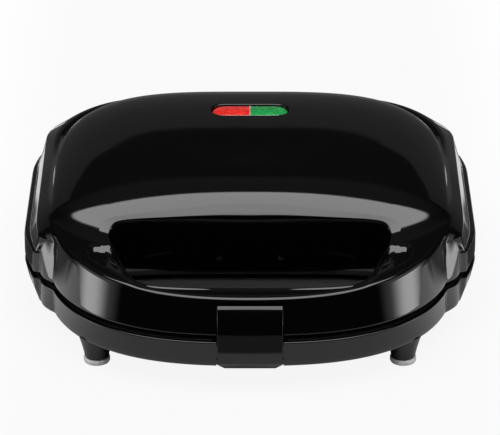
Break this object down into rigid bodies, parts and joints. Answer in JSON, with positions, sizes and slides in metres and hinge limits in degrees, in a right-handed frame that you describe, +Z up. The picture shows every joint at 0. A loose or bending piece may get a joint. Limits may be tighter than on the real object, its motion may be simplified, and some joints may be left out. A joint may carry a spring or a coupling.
{
  "type": "sandwich toaster",
  "caption": "Clam-shell sandwich toaster with a D-shaped nose, a finger opening behind the front bar, a hinged lid, a swinging latch clip and pocketed cooking plates.",
  "frame": {"origin": "middle of the bounding box, on the surface that the feet stand on", "axes": "+X to the right seen from the front, +Y to the rear towards the hinges, +Z up"},
  "size_m": [0.239, 0.224, 0.084],
  "materials": {
    "gloss_black": "polished black ABS",
    "satin_black": "satin black PP",
    "nonstick_plate": "cast aluminium with a dark non-stick coating",
    "bright_steel": "plain steel",
    "pad_rubber": "pale grey rubber",
    "red_lens": "clear red plastic",
    "green_lens": "clear green plastic",
    "pale_plastic": "heat-proof pale plastic",
    "lamp_glass": "small neon lamps"
  },
  "bodies": {
    "base": {"base_shell": "gloss_black", "base_inner_frame": "satin_black", "lower_plate": "nonstick_plate", "lower_heating_element": "bright_steel", "lower_heat_shield": "bright_steel", "lower_plate_screws": "bright_steel", "left_base_hinge": "satin_black", "right_base_hinge": "satin_black", "left_hinge_pin": "bright_steel", "right_hinge_pin": "bright_steel", "front_left_foot_pad": "pad_rubber", "front_right_foot_pad": "pad_rubber", "rear_left_foot_pad": "pad_rubber", "rear_right_foot_pad": "pad_rubber", "cord_gland": "satin_black", "cord_clamp": "pale_plastic", "terminal_block": "pale_plastic", "base_wires": "pale_plastic", "base_screws": "bright_steel"},
    "lid": {"lid_cover": "gloss_black", "lid_inner_frame": "satin_black", "handle_grip": "satin_black", "upper_plate": "nonstick_plate", "upper_heating_element": "bright_steel", "upper_heat_shield": "bright_steel", "upper_plate_screws": "bright_steel", "red_lens": "red_lens", "green_lens": "green_lens", "lamp_holder": "pale_plastic", "indicator_lamps": "lamp_glass", "thermostat": "bright_steel", "thermal_fuse": "pale_plastic", "lid_wires": "pale_plastic", "left_lid_hinge": "satin_black", "right_lid_hinge": "satin_black", "lid_screws": "bright_steel", "latch_pin": "bright_steel"},
    "latch": {"latch_clip": "gloss_black"}
  },
  "joints": [
    {"name": "lid_hinge", "type": "hinge", "parent": "base", "child": "lid", "pos_m": [0, 0.1065, 0.031], "axis": [-1, 0, 0], "range_deg": [0, 105]},
    {"name": "latch_hinge", "type": "hinge", "parent": "lid", "child": "latch", "pos_m": [0, -0.1008, 0.0385], "axis": [-1, 0, 0], "range_deg": [0, 40]}
  ]
}
